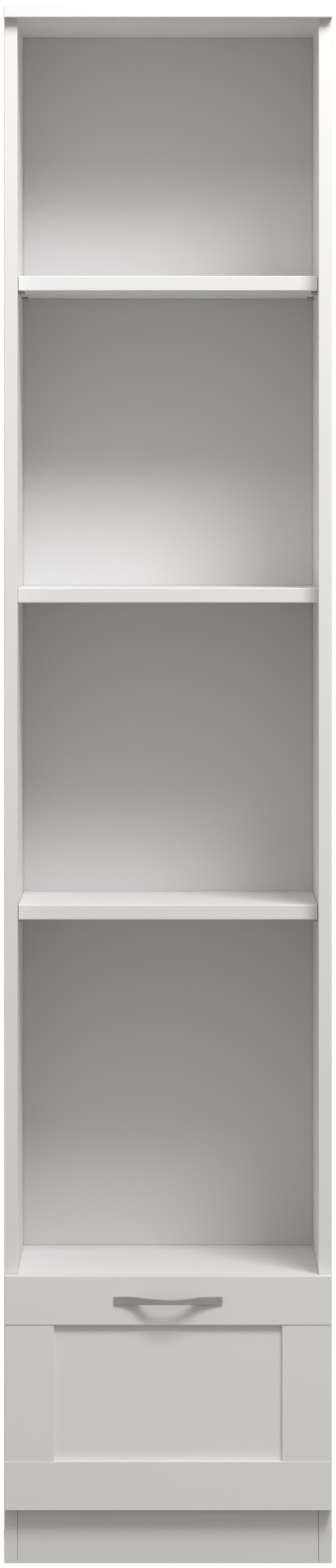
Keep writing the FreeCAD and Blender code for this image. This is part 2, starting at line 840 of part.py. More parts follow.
def make_box_front():
    """The blank of the box's own front board, grooved for the bottom."""
    y = ("front_back", "box_inner_front")
    piece = board("box_front_blank", across("box_inner"), y, ("box_floor", "box_top"))
    soften(piece, "front top", "back top")
    groove = groove_room("bottom_low", "bottom_high")
    trench(piece, across("box_inner"), ("box_inner_front - bottom_groove", "box_inner_front"), groove)
    return piece


def make_box_back():
    """The blank of the box's back board, standing on the bottom."""
    heights = ("bottom_high + groove_clearance", "box_top")
    piece = board("box_back_blank", across("box_inner"), ("box_inner_rear", "box_rear"), heights)
    soften(piece, "front top", "back top")
    return piece


def make_box_bottom():
    """The thin bottom in the grooves of the box, slid in under the back."""
    half = "box_inner + bottom_groove - groove_clearance"
    depths = ("box_inner_front - bottom_groove + groove_clearance", "box_rear")
    return board("box_bottom", across(half), depths, ("bottom_low", "bottom_high"))


def make_carcass():
    """All that stands still."""
    pins, pin_holes = make_pins()
    cams, cam_pockets = make_cams()
    (bolts, bolt_bores), (dowels, dowel_bores) = make_top_fixings()
    screw_steps = [
        ("0", "side_thickness", "screw_shank_radius"),
        ("side_thickness", "screw_length - side_thickness", "screw_thread_radius"),
    ]
    screw_placings = both_sides("outer_half", SCREW_SPOTS, HALF_TURN, AS_DRAWN)
    screws, screw_bores = fasteners("carcass_screws", screw_steps, screw_placings)
    runner_screws, runner_bores = fasteners(
        "runner_screws_cabinet",
        headed("runner_screw_head", "runner_screw_crown", "runner_screw_radius", "runner_screw_length"),
        both_sides("web_inner", RUNNER_SCREW_SPOTS, AS_DRAWN, HALF_TURN),
    )
    side_tools = (pin_holes, screw_bores, cam_pockets, bolt_bores, dowel_bores, runner_bores)
    side = bored("side_right", make_side(), *side_tools)
    runner = bored("runner_cabinet_right", make_cabinet_runner(), runner_bores)
    nodes = [side, mirrored("side_left", side), bored("top_panel", make_top(), bolt_bores, dowel_bores)]
    for name, front, low, high in (
        ("fixed_shelf", "shelf_front", "fixed_shelf_height", "fixed_top"),
        ("drawer_cover_board", "side_front", "cover_height", "cover_top"),
        ("base_board", "side_front", "plinth_height", "base_top"),
    ):
        nodes.append(bored(name, make_screwed_board(name, front, low, high), screw_bores))
    for name, front in (("plinth_front", "plinth_face"), ("plinth_rear", "side_rear - plinth_thickness")):
        nodes.append(bored(name, make_plinth(name, front), screw_bores))
    back_x = across("outer_half - back_inset")
    nodes.append(board("back_panel", back_x, ("side_rear", "rear_face"), ("back_floor_gap", "side_top")))
    axle_placings = both_sides("inner_half", [("front_axle_y", "axle_z")], HALF_TURN, AS_DRAWN)
    axles = group("front_roller_pins", AXLE, axle_placings)
    nodes += [*pins, screws, cams, bolts, dowels]
    return nodes + [runner, mirrored("runner_cabinet_left", runner), runner_screws, axles]


def make_drawer_screws():
    """Kinds of screw in the drawer, each with its bores: handle, box, front fixing and ledge."""
    handle_length = "front_thickness + handle_thread - groove_clearance"
    handle_screws = fasteners(
        "handle_screws",
        headed("handle_screw_head", "handle_screw_crown", "handle_screw_radius", handle_length),
        both_sides("handle_spacing / 2", [("front_back", "handle_axis")], FORWARD, FORWARD),
    )
    box_screws = fasteners(
        "box_screws",
        headed("box_screw_head", "fixing_crown", "box_screw_radius", "box_screw_length"),
        both_sides("box_half - fixing_crown", BOX_SCREW_SPOTS, HALF_TURN, AS_DRAWN),
    )
    fixing_placings = []
    for x, z in FIXING_SPOTS:
        fixing_placings += both_sides(x, [("box_inner_front", z)], FORWARD, FORWARD)
    fixings = fasteners(
        "front_fixing_screws",
        headed("fixing_head", "fixing_crown", "fixing_radius", "box_board + fixing_depth"),
        fixing_placings,
    )
    ledge_spots = [(y, "box_floor - runner_steel") for y in LEDGE_SCREW_DEPTHS]
    ledge_screws = fasteners(
        "runner_screws_drawer",
        headed("runner_screw_head", "runner_screw_crown", "runner_screw_radius", "ledge_screw_length"),
        both_sides("box_half - box_board / 2", ledge_spots, UPRIGHT, UPRIGHT),
    )
    return handle_screws, box_screws, fixings, ledge_screws


def make_drawer():
    """All that slides out with the drawer."""
    handle_screws, box_screws, fixings, ledge_screws = make_drawer_screws()
    dowels, dowel_bores = make_frame_dowels()
    upper = make_rail("front_rail_top", "rail_high", "rail_high", -1)
    lower = make_rail("front_rail_bottom", "front_floor", "rail_low", 1)
    stile = bored("front_stile_right", make_stile(), dowel_bores, fixings[1])
    nodes = [
        bored("front_rail_top", upper, dowel_bores, handle_screws[1]),
        bored("front_rail_bottom", lower, dowel_bores, fixings[1]),
        stile,
        mirrored("front_stile_left", stile),
        make_panel(),
        bored("handle", make_handle(), handle_screws[1]),
    ]
    box_side = bored("box_side_right", make_box_side(), box_screws[1], ledge_screws[1])
    runner = bored("runner_drawer_right", make_drawer_runner(), ledge_screws[1])
    nodes += [box_side, mirrored("box_side_left", box_side)]
    nodes.append(bored("box_sub_front", make_box_front(), box_screws[1], fixings[1]))
    nodes.append(bored("box_back", make_box_back(), box_screws[1]))
    nodes += [make_box_bottom(), runner, mirrored("runner_drawer_left", runner)]
    axle_placings = both_sides("box_half", [("rear_axle_y", "axle_z")], AS_DRAWN, HALF_TURN)
    nodes.append(group("rear_roller_pins", AXLE, axle_placings))
    return nodes + [dowels, handle_screws[0], box_screws[0], fixings[0], ledge_screws[0]]


def make_rollers():
    """Two rollers on the channels and two on the drawer's rails."""
    roller = make_roller()
    front = both_sides("web_inner - roller_play", [("front_axle_y", "axle_z")], HALF_TURN, AS_DRAWN)
    rear = both_sides("web_outer + roller_play", [("rear_axle_y", "axle_z")], AS_DRAWN, HALF_TURN)
    names = ("roller_front_right", "roller_front_left", "roller_rear_right", "roller_rear_left")
    return [group(name, roller, [placing]) for name, placing in zip(names, front + rear)]


AXLE = make_axle()
shelves = [
    make_loose_shelf("shelf_upper", "upper_shelf_height"),
    make_loose_shelf("shelf_lower", "lower_shelf_height"),
]
nodes = make_carcass() + shelves + make_drawer() + make_rollers()

doc.recompute()
for item in doc.Objects:
    if "Invalid" in item.State or "Error" in item.State:
        raise RuntimeError(f"{item.Label}: {item.State}")
for node in nodes:
    if node.Shape.isNull() or not node.Shape.isValid():
        raise RuntimeError("bad shape: " + node.Label)

os.makedirs("parts", exist_ok=True)
for node in nodes:
    node.Shape.exportStep(f"parts/{node.Label}.step")
print(len(nodes), "pieces written")
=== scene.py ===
import json
import math

import bpy
import numpy as np
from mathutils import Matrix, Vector


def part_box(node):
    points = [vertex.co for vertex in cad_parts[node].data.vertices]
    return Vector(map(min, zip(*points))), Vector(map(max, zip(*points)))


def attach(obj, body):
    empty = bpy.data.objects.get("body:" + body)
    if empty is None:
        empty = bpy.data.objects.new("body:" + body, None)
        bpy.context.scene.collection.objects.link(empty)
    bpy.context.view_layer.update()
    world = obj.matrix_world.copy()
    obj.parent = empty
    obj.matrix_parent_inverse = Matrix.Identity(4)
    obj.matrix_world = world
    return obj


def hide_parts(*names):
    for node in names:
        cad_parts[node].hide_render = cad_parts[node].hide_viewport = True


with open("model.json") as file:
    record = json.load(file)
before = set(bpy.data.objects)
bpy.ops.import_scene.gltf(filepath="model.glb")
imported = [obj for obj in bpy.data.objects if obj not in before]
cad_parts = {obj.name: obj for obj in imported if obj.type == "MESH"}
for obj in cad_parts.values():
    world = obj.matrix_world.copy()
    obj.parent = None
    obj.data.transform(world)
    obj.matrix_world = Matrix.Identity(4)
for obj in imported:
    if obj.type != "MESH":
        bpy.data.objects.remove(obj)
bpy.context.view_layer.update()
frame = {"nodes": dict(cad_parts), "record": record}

MM = 0.001
TURN = 2 * math.pi

# Picture frame and camera
PHOTO_HEIGHT = 1920
HORIZON_ROW = 634
EYE = Vector((0.0, -8.211, 1.275))
LENS = 151.84
SENSOR = 36.0
VIEW_REACH = 100.0

# Lamps: place, point aimed at, width, height, power in watts and colour
KEY_LAMP = ((1.1, -2.5, 3.9), (0.0, 0.0, 0.8), 1.2, 1.2, 104.0, (0.945, 0.94, 1.0))
TOP_LAMP = ((0.0, -1.26, 2.55), (0.0, 0.0, 1.4), 0.6, 0.3, 5.6, (0.97, 0.96, 1.0))

# Room and floor
ROOM_LIGHT = 0.56
ROOM_COLOUR = (1.0, 0.98, 0.83)
WHITE = (1.0, 1.0, 1.0)
FLOOR_HALF = 14.0
FLOOR_GLOW = 0.86

# Places in the frame that pieces and finishes share
rail_low, rail_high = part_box("front_rail_top")
side_low, side_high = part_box("side_right")
back_low, back_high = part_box("back_panel")
handle_low, handle_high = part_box("handle")
fixed_low, fixed_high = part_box("fixed_shelf")
side_middle = (side_low.x + side_high.x) / 2

# Directions that fittings face, with X counted away from the middle of the bookcase
OUTWARD = (1, 0, 0)
INWARD = (-1, 0, 0)
FORWARD = (0, -1, 0)
REARWARD = (0, 1, 0)
DOWNWARD = (0, 0, -1)

# The one stand of a piece that is drawn in its place: a place and a direction
AT_ORIGIN = (((0, 0, 0), (0, 0, 1)),)

# Least part of a direction along an axis for it to count as facing that way
SQUARELY = 0.9
MOSTLY = 0.5

# Boards: how near the rear or the floor a bare edge lies
EDGE_DEPTH = 1 * MM

# Hardboard back: painted shade in thin dark lines along the sides and the fixed boards, and the print of the
# wire screen
CORNER_SHADE_WIDTH = 0.9 * MM
CORNER_SHADE_STRENGTH = 0.4
SCREEN_PITCH = 1.8 * MM
corner_shade_heights = (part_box("top_panel")[0].z, fixed_high.z, fixed_low.z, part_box("drawer_cover_board")[1].z)

# Bow handle, with the counts of its rings and of the points in a rounded corner
HANDLE_CREST = 33 * MM
HANDLE_TIP = 2.4 * MM
HANDLE_ARCH_HALF = 40 * MM
HANDLE_ARCH_RISE = 16.8 * MM
HANDLE_WAIST_HALF = 48 * MM
HANDLE_WAIST_HEIGHT = 6.2 * MM
HANDLE_EDGE = 0.7 * MM
HANDLE_EDGE_SHARE = 0.45
HANDLE_TIP_TUCK = 0.92 * HANDLE_EDGE
HANDLE_TIP_RINGS = 6
HANDLE_RUN_RINGS = 119
HANDLE_CORNER_POINTS = 5

# Screws: height of the crown and radius of the thread
RUNNER_SCREW = (1.2 * MM, 1.7 * MM)
BOX_SCREW = (1.5 * MM, 2.0 * MM)
HANDLE_SCREW = (2.4 * MM, 2.0 * MM)

# Screw heads: rings and widths in head radii, depths in crown heights
HEAD_RINGS = (0.10, 0.22, 0.36, 0.46, 0.54, 0.60, 0.80, 0.95, 1.0)
HEAD_DOME = 0.45
SLOT_HALF_WIDTH = 0.15
SLOT_REACH = 0.57
SLOT_DEPTH = 1.1
SLOT_SLOPE = 1.1

# Screw threads: core and point in thread radii
THREAD_PITCH = 2.2 * MM
THREAD_RINGS = 5
THREAD_CORE = 0.68
THREAD_STEEPNESS = 3.2
POINT_LENGTH = 3
POINT_WIDTH = 0.06

# Shelf pins: the flat starts in a short step at the face of the side, and the nose is pairs of a distance
# from its end and a share of the radius
PIN_FLAT = 1 * MM
PIN_BEVEL = 0.4 * MM
PIN_BEVEL_SHARE = 0.8
PIN_STEP = 0.05 * MM
PIN_NOSE = ((0.9 * MM, 1.0), (0.4 * MM, 0.96), (0.1 * MM, 0.86), (0.0, 0.7))
PIN_SEAT_EASE = 0.1
PIN_COLUMNS = 32

# Caps, nails and bumpers, which only the looks hold
DOME_SWING = 0.94
CAP_RADIUS = 6.5 * MM
CAP_RISE = 0.7 * MM
NAIL_RADIUS = 2.6 * MM
NAIL_RISE = 0.7 * MM
NAIL_PITCH = 118 * MM
NAIL_FOOT = 18 * MM
NAIL_PROFILE = ((1, 0), (1, 0.4), (0.8, 0.85), (0.3, 1))
BUMPER_RADIUS = 4 * MM
BUMPER_GAP_SHARE = 0.9


class Value:
    """A shader socket that takes part in Python sums. Each sum adds the Math node that works it out."""

    def __init__(self, finish, socket):
        self.finish = finish
        self.socket = socket

    def maths(self, operation, *values):
        sockets = dict(enumerate(values))
        return self.finish.node("ShaderNodeMath", {"operation": operation}, sockets)

    def __add__(self, other):
        return self.maths("ADD", self, other)

    def __radd__(self, other):
        return self.maths("ADD", other, self)

    def __sub__(self, other):
        return self.maths("SUBTRACT", self, other)

    def __rsub__(self, other):
        return self.maths("SUBTRACT", other, self)

    def __mul__(self, other):
        return self.maths("MULTIPLY", self, other)

    def __rmul__(self, other):
        return self.maths("MULTIPLY", other, self)

    def __abs__(self):
        return self.maths("ABSOLUTE", self)

    def sine(self):
        return self.maths("SINE", self)

    def above(self, limit):
        return self.maths("GREATER_THAN", self, limit)

    def below(self, limit):
        return self.maths("LESS_THAN", self, limit)

    def most(self, other):
        return self.maths("MAXIMUM", self, other)


class Finish:
    """The node tree of one finish."""

    MIX_FACTOR, MIX_A, MIX_B, MIX_RESULT = 0, 6, 7, 2

    def __init__(self, owner):
        owner.use_nodes = True
        self.owner = owner
        self.tree = owner.node_tree
        self.tree.nodes.clear()

    def node(self, kind, settings=(), sockets=(), output=0):
        """A node of this type, its settings made first, then its sockets filled. Gives one output."""
        new = self.tree.nodes.new(kind)
        for name, setting in dict(settings).items():
            if name == "stops":
                self.set_stops(new.color_ramp.elements, setting)
            else:
                setattr(new, name, setting)
        for name, value in dict(sockets).items():
            socket = new.inputs[name]
            if isinstance(value, Value):
                self.tree.links.new(value.socket, socket)
            elif socket.type == "RGBA":
                socket.default_value = (*value, 1)
            else:
                socket.default_value = value
        if new.outputs:
            return Value(self, new.outputs[output])

    @staticmethod
    def set_stops(elements, stops):
        """Gives a ramp its stops, each a place from 0 to 1 and a colour."""
        while len(elements) < len(stops):
            elements.new(1)
        for element, (place, colour) in zip(elements, stops):
            element.position = place
            element.color = (*colour, 1)

    def place(self):
        """Where a point lies on its own piece, in the frame's metres."""
        return self.node("ShaderNodeTexCoord", output="Object")

    def parts(self, vector):
        """The X, Y and Z of a vector."""
        return [self.node("ShaderNodeSeparateXYZ", sockets={0: vector}, output=axis) for axis in range(3)]

    def facing(self):
        """The X, Y and Z of the direction that the surface faces."""
        return self.parts(self.node("ShaderNodeTexCoord", output="Normal"))

    def stretched(self, place, scale):
        """The place with each axis scaled, so that a pattern runs long where the scale is small."""
        return self.node("ShaderNodeMapping", {"vector_type": "POINT"}, {"Vector": place, "Scale": scale})

    def noise(self, place, scale, detail=2.0, roughness=0.5):
        """A cloudy pattern of greys."""
        sockets = {"Vector": place, "Scale": scale, "Detail": detail, "Roughness": roughness}
        return self.node("ShaderNodeTexNoise", sockets=sockets)

    def cells(self, place, scale):
        """One random grey for each cell of a broken pattern."""
        sockets = {"Vector": place, "Scale": scale}
        colour = self.node("ShaderNodeTexVoronoi", sockets=sockets, output="Color")
        return self.parts(colour)[0]

    def mixed(self, factor, first, second):
        """The first colour where the factor is 0 and the second where it is 1."""
        sockets = {self.MIX_FACTOR: factor, self.MIX_A: first, self.MIX_B: second}
        return self.node("ShaderNodeMix", {"data_type": "RGBA"}, sockets, self.MIX_RESULT)

    def ramp(self, factor, *stops):
        """A colour that runs from stop to stop with the factor."""
        return self.node("ShaderNodeValToRGB", {"stops": stops}, {"Fac": factor})

    def bump(self, height, strength, depth):
        """The surface's direction, tilted by a pattern of heights."""
        sockets = {"Height": height, "Strength": strength, "Distance": depth}
        return self.node("ShaderNodeBump", sockets=sockets, output="Normal")

    def surface(self, sockets):
        """Ends the tree in the surface shader with these sockets filled."""
        return self.end(self.node("ShaderNodeBsdfPrincipled", sockets=sockets))

    def end(self, shader, kind="ShaderNodeOutputMaterial"):
        """Ends the tree in its output, and gives the material or world that it belongs to."""
        self.node(kind, sockets={"Surface": shader})
        return self.owner

    def seen(self):
        """1 for what the camera sees, straight, in a gloss or through glass, and 0 for falling light."""
        rays = ("Is Camera Ray", "Is Glossy Ray", "Is Transmission Ray")
        camera, glossy, through = [self.node("ShaderNodeLightPath", output=ray) for ray in rays]
        return camera.most(glossy).most(through)


def new_finish(name):
    """An empty finish on a new material."""
    return Finish(bpy.data.materials.new(name))


def white_laminate():
    """White melamine board: a fine pearl grain and faint clouding, a darker band along the front edges, and
    bare chips on rear and under edges."""
    finish = new_finish("white_laminate")
    place = finish.place()
    pearl = finish.noise(place, scale=1500.0, roughness=0.6)
    cloud = finish.noise(place, scale=5.0, detail=3.0)
    white = finish.mixed(cloud, (0.84, 0.837, 0.83), (0.865, 0.862, 0.855))
    flakes = finish.cells(finish.stretched(place, (1.0, 1.0, 2.2)), scale=420.0)
    dust = finish.noise(place, scale=2200.0)
    chips = finish.ramp(0.75 * flakes + 0.25 * dust, (0.15, (0.26, 0.16, 0.08)), (0.9, (0.62, 0.46, 0.28)))
    across, depth, up = finish.parts(place)
    rearward, upward = finish.facing()[1:]
    outer_boards = abs(across).above(side_low.x).most(up.above(side_high.z))
    rear_edge = rearward.above(SQUARELY) * depth.above(side_high.y - EDGE_DEPTH) * outer_boards
    foot_edge = upward.below(-SQUARELY) * up.below(EDGE_DEPTH)
    bare = rear_edge.most(foot_edge)
    banded = finish.mixed(rearward.below(-SQUARELY), white, (0.77, 0.768, 0.76))
    return finish.surface({
        "Base Color": finish.mixed(bare, banded, chips),
        "Roughness": 0.48 + 0.10 * cloud + 0.35 * bare,
        "Normal": finish.bump(pearl + 3.0 * bare * flakes, strength=0.10, depth=0.4 * MM),
        "Specular IOR Level": 0.22,
    })


def front_foil():
    """White foil pressed over the drawer front: smoother than the boards, with a soft ripple of its core."""
    finish = new_finish("front_foil")
    place = finish.place()
    ripple = finish.noise(place, scale=160.0)
    pearl = finish.noise(place, scale=1800.0)
    cloud = finish.noise(place, scale=7.0, detail=3.0)
    return finish.surface({
        "Base Color": finish.mixed(cloud, (0.785, 0.782, 0.778), (0.81, 0.807, 0.803)),
        "Roughness": 0.45 + 0.10 * cloud,
        "Normal": finish.bump(0.7 * ripple + 0.3 * pearl, strength=0.08, depth=0.4 * MM),
        "Specular IOR Level": 0.22,
    })


def white_hardboard():
    """Hardboard: white paint on its face, with a thin dark line of painted shade along the sides and the
    fixed boards, where shade falls in the corners, and on its rear brown fibres with the print of a wire
    screen, which is a sine across times a sine up."""
    finish = new_finish("white_hardboard")
    place = finish.place()
    across, depth, up = finish.parts(place)
    rearward, upward = finish.facing()[1:]
    raw = rearward.above(MOSTLY).most(upward.below(-MOSTLY))
    wires = TURN / SCREEN_PITCH
    screen = (across * wires).sine() * ((up + depth) * wires).sine()
    fibres = finish.noise(finish.stretched(place, (1.0, 1.0, 0.45)), scale=600.0, detail=4.0, roughness=0.65)
    stain = finish.noise(place, scale=9.0, detail=4.0)
    brown = finish.ramp(0.8 * fibres + 0.2 * stain, (0.3, (0.27, 0.165, 0.09)), (0.7, (0.44, 0.295, 0.175)))
    paint = finish.mixed(stain, (0.708, 0.705, 0.698), (0.733, 0.73, 0.723))
    # Painted shade: a thin dark line on the face along the sides and the fixed boards, standing in for the
    # shade in those corners
    corner_shade = abs(across).above(side_low.x - CORNER_SHADE_WIDTH)
    for height in corner_shade_heights:
        corner_shade = corner_shade.most(abs(up - height).below(CORNER_SHADE_WIDTH))
    face = finish.mixed(CORNER_SHADE_STRENGTH * corner_shade, paint, (0.20, 0.175, 0.145))
    grain = finish.noise(place, scale=900.0)
    return finish.surface({
        "Base Color": finish.mixed(raw, face, brown),
        "Roughness": 0.5 + 0.35 * raw,
        "Normal": finish.bump(0.25 * grain + raw * (screen + fibres), strength=0.25, depth=0.3 * MM),
        "Specular IOR Level": 0.2,
    })


def satin_nickel():
    """Satin nickel: fine brush lines along the bow and a slow change of tone."""
    finish = new_finish("satin_nickel")
    place = finish.place()
    lines = finish.noise(finish.stretched(place, (0.04, 1.0, 1.0)), scale=5200.0, detail=3.0, roughness=0.6)
    cloud = finish.noise(place, scale=60.0)
    return finish.surface({
        "Base Color": finish.mixed(0.6 * lines + 0.4 * cloud, (0.20, 0.197, 0.178), (0.31, 0.306, 0.28)),
        "Metallic": 0.85,
        "Roughness": 0.36 + 0.12 * lines,
        "Normal": finish.bump(lines, strength=0.12, depth=0.1 * MM),
    })


def runner_enamel():
    """White stove enamel on pressed steel: a slight peel and thin grey rub marks."""
    finish = new_finish("runner_enamel")
    place = finish.place()
    peel = finish.noise(place, scale=420.0)
    rub = finish.noise(finish.stretched(place, (1.0, 0.05, 1.0)), scale=900.0, detail=3.0)
    marks = finish.ramp(rub, (0.62, (0.78, 0.775, 0.755)), (0.74, (0.60, 0.60, 0.59)))
    return finish.surface({
        "Base Color": marks,
        "Roughness": 0.28 + 0.15 * rub,
        "Normal": finish.bump(peel, strength=0.10, depth=0.3 * MM),
    })


def nylon():
    """Milky nylon of the rollers, with rings left by the mould."""
    finish = new_finish("nylon")
    place = finish.place()
    rings = finish.noise(finish.stretched(place, (1.0, 0.08, 0.08)), scale=2400.0)
    milk = finish.noise(place, scale=200.0)
    return finish.surface({
        "Base Color": finish.mixed(milk, (0.70, 0.69, 0.64), (0.78, 0.77, 0.73)),
        "Roughness": 0.34 + 0.12 * rings,
        "Normal": finish.bump(rings, strength=0.08, depth=0.1 * MM),
    })


def zinc_steel():
    """Bright zinc on steel fixings: a spangled tone with a trace of blue and straw."""
    finish = new_finish("zinc_steel")
    place = finish.place()
    spangle = finish.cells(place, scale=900.0)
    cloud = finish.noise(place, scale=250.0, detail=3.0)
    tint = finish.mixed(cloud, (0.58, 0.56, 0.50), (0.55, 0.58, 0.62))
    return finish.surface({
        "Base Color": tint,
        "Metallic": 0.95,
        "Roughness": 0.26 + 0.16 * spangle,
        "Normal": finish.bump(cloud, strength=0.10, depth=0.1 * MM),
    })


def beech():
    """Beech dowels: pale pink-brown wood with short dark flecks along the grain."""
    finish = new_finish("beech")
    place = finish.place()
    flecks = finish.noise(finish.stretched(place, (0.3, 1.0, 0.3)), scale=1500.0, detail=3.0, roughness=0.6)
    grain = finish.noise(finish.stretched(place, (0.2, 1.0, 0.2)), scale=260.0, detail=3.0)
    wood = finish.ramp(0.5 * flecks + 0.5 * grain, (0.35, (0.42, 0.26, 0.15)), (0.6, (0.66, 0.47, 0.31)))
    return finish.surface({
        "Base Color": wood,
        "Roughness": 0.62 + 0.1 * grain,
        "Normal": finish.bump(flecks, strength=0.2, depth=0.2 * MM),
    })


def cap_white():
    """White moulded plastic of the caps over the screw heads."""
    finish = new_finish("cap_white")
    place = finish.place()
    spark = finish.noise(place, scale=1800.0)
    cloud = finish.noise(place, scale=40.0)
    return finish.surface({
        "Base Color": finish.mixed(cloud, (0.77, 0.765, 0.75), (0.81, 0.805, 0.79)),
        "Roughness": 0.38 + 0.1 * spark,
        "Normal": finish.bump(spark, strength=0.12, depth=0.1 * MM),
    })


def bumper_clear():
    """Soft plastic of the drawer bumpers: milky and faintly clouded, with a little light let through."""
    finish = new_finish("bumper_clear")
    cloud = finish.noise(finish.place(), scale=350.0, detail=3.0)
    return finish.surface({
        "Base Color": finish.mixed(cloud, (0.70, 0.71, 0.70), (0.78, 0.79, 0.78)),
        "Roughness": 0.12 + 0.15 * cloud,
        "Transmission Weight": 0.2,
        "IOR": 1.45,
    })


FINISHES = {
    make.__name__: make()
    for make in (
        white_laminate, front_foil, white_hardboard, satin_nickel, runner_enamel,
        nylon, zinc_steel, beech, cap_white, bumper_clear,
    )
}


def dress(piece, slot):
    """Gives a piece the finish of one of the record's material slots."""
    piece.data.materials.clear()
    piece.data.materials.append(FINISHES[slot])


for subpart in frame["record"]["subparts"]:
    dress(frame["nodes"][subpart["node"]], subpart["material_slot"])


def solids(node):
    """The low and high corners of each solid of a node. Points that share a triangle take the lowest of
    their labels, until no label changes."""
    mesh = frame["nodes"][node].data
    points = np.empty(3 * len(mesh.vertices))
    mesh.vertices.foreach_get("co", points)
    corners = np.empty(len(mesh.loops), int)
    mesh.loops.foreach_get("vertex_index", corners)
    unique, same = np.unique(points.reshape(-1, 3).round(6), axis=0, return_inverse=True)
    triangles = same.reshape(-1)[corners].reshape(-1, 3)
    labels = np.arange(len(unique))
    spreading = True
    while spreading:
        spread = labels.copy()
        np.minimum.at(spread, triangles, labels[triangles].min(axis=1, keepdims=True))
        spreading = not np.array_equal(spread, labels)
        labels = spread
    groups = [unique[labels == label] for label in np.unique(labels)]
    return [(group.min(axis=0), group.max(axis=0)) for group in groups]


def ring_faces(rows, columns):
    """The corners of the quads between closed rings, and of the two faces that close the ends."""
    ring = np.arange(rows * columns).reshape(rows, columns)
    after = np.roll(ring, -1, axis=1)
    quads = np.stack([ring[:-1], after[:-1], after[1:], ring[1:]], axis=-1).reshape(-1, 4)
    return quads, np.stack([ring[0, ::-1], ring[-1]])


def new_piece(name, rings, slot, body, stands=AT_ORIGIN, sharp=35, replaced=()):
    """A mesh of closed rings drawn along +Z, with a copy at each stand, which is a place and a direction.
    The rings may run either way round +Z: the faces are turned outwards by the volume that they hold."""
    places = np.array([place for place, direction in stands], float)
    upright = np.array([direction for place, direction in stands], float)
    helper = np.where(np.abs(upright[:, 2:]) > SQUARELY, [[0.0, 1.0, 0.0]], [[0.0, 0.0, 1.0]])
    aside = np.cross(helper, upright)
    aside /= np.linalg.norm(aside, axis=1, keepdims=True)
    turns = np.stack([aside, np.cross(upright, aside), upright], axis=-1)
    flat = rings.reshape(-1, 3)
    points = np.einsum("kij,nj->kni", turns, flat) + places[:, None]
    quads, ends = ring_faces(*rings.shape[:2])
    first, second, third = (flat[quads[:, corner]] for corner in range(3))
    volume = np.einsum("ij,ij->", first - flat.mean(axis=0), np.cross(second - first, third - first))
    if volume < 0:
        quads = quads[:, ::-1]
        ends = ends[:, ::-1]
    faces = []
    for shift in range(0, len(stands) * len(flat), len(flat)):
        faces += (quads + shift).tolist() + (ends + shift).tolist()
    mesh = bpy.data.meshes.new(name)
    mesh.from_pydata(points.reshape(-1, 3).tolist(), [], faces)
    mesh.shade_smooth()
    mesh.set_sharp_from_angle(angle=math.radians(sharp))
    piece = bpy.data.objects.new(name, mesh)
    bpy.context.scene.collection.objects.link(piece)
    dress(piece, slot)
    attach(piece, body)
    if replaced:
        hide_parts(*replaced)


def turned(profile, columns=24):
    """Rings of a turned shape: each profile point, a radius and a height, swung once round +Z."""
    radius, height = np.array(profile, float).T[:, :, None]
    angle = np.linspace(0, TURN, columns, endpoint=False)[None]
    return np.stack(np.broadcast_arrays(radius * np.cos(angle), radius * np.sin(angle), height), axis=-1)


def dome(radius, rise, steps=6):
    """Profile of a dome: a quarter ellipse from its rim up to a small flat at the crown."""
    swing = np.linspace(0, DOME_SWING, steps) * TURN / 4
    return np.stack([radius * np.cos(swing), rise * np.sin(swing)], axis=-1)


def bow_handle():
    """The handle: a rounded section carried along X. At each X the front follows a crest arc that runs into
    hollow arcs, the rear follows the arch between the feet, and the height narrows to the waist on a circle.
    The section shrinks along a quarter circle in the last edge radius at each tip."""
    reach = handle_high.x
    rise = handle_high.y - handle_low.y
    full_height = handle_high.z - handle_low.z
    swell = (rise - HANDLE_TIP) / 2
    bow = (HANDLE_CREST ** 2 + swell ** 2) / (2 * swell)
    arch = (HANDLE_ARCH_HALF ** 2 + HANDLE_ARCH_RISE ** 2) / (2 * HANDLE_ARCH_RISE)
    pinch = (full_height - HANDLE_WAIST_HEIGHT) / 2
    waist = (HANDLE_WAIST_HALF ** 2 + pinch ** 2) / (2 * pinch)
    swing = np.linspace(0, TURN / 4, HANDLE_TIP_RINGS)
    tip = reach - HANDLE_EDGE + HANDLE_EDGE * np.sin(swing)
    between = np.linspace(HANDLE_EDGE - reach, reach - HANDLE_EDGE, HANDLE_RUN_RINGS + 2)[1:-1]
    run = np.concatenate([-tip[::-1], between, tip])
    drawn_in = 1 - np.cos(swing)
    tuck = HANDLE_TIP_TUCK * np.concatenate([drawn_in[::-1], np.zeros(HANDLE_RUN_RINGS), drawn_in])
    along = np.abs(run)
    crest = rise - bow + np.sqrt(bow ** 2 - np.minimum(along, HANDLE_CREST) ** 2)
    hollow = HANDLE_TIP + bow - np.sqrt(bow ** 2 - (reach - np.maximum(along, HANDLE_CREST)) ** 2)
    front = np.where(along < HANDLE_CREST, crest, hollow) - tuck
    inside = np.sqrt(np.maximum(arch ** 2 - along ** 2, 0)) - (arch - HANDLE_ARCH_RISE)
    rear = np.maximum(inside, 0)
    narrow = pinch - waist + np.sqrt(waist ** 2 - np.minimum(along, HANDLE_WAIST_HALF) ** 2)
    half = full_height / 2 - np.maximum(narrow, 0) - tuck
    quarter = np.linspace(0, TURN / 4, HANDLE_CORNER_POINTS)
    sine = np.sin(quarter)
    cosine = np.cos(quarter)
    corner_y = np.concatenate([sine, cosine, -sine, -cosine])
    corner_z = np.concatenate([cosine, -sine, -cosine, sine])
    side_y = np.repeat([1, 1, -1, -1], HANDLE_CORNER_POINTS)
    side_z = np.repeat([1, -1, -1, 1], HANDLE_CORNER_POINTS)
    thick = (front - rear) / 2
    edge = np.minimum(HANDLE_EDGE, HANDLE_EDGE_SHARE * np.minimum(thick, half))
    out = (front + rear)[:, None] / 2 + side_y * (thick - edge)[:, None] + corner_y * edge[:, None]
    up = side_z * (half - edge)[:, None] + corner_z * edge[:, None]
    middle = (handle_low.z + handle_high.z) / 2
    rings = np.stack([np.broadcast_to(run[:, None], up.shape), handle_high.y - out, middle + up], axis=-1)
    new_piece("bow_handle", rings, "satin_nickel", "drawer", replaced=["handle"])


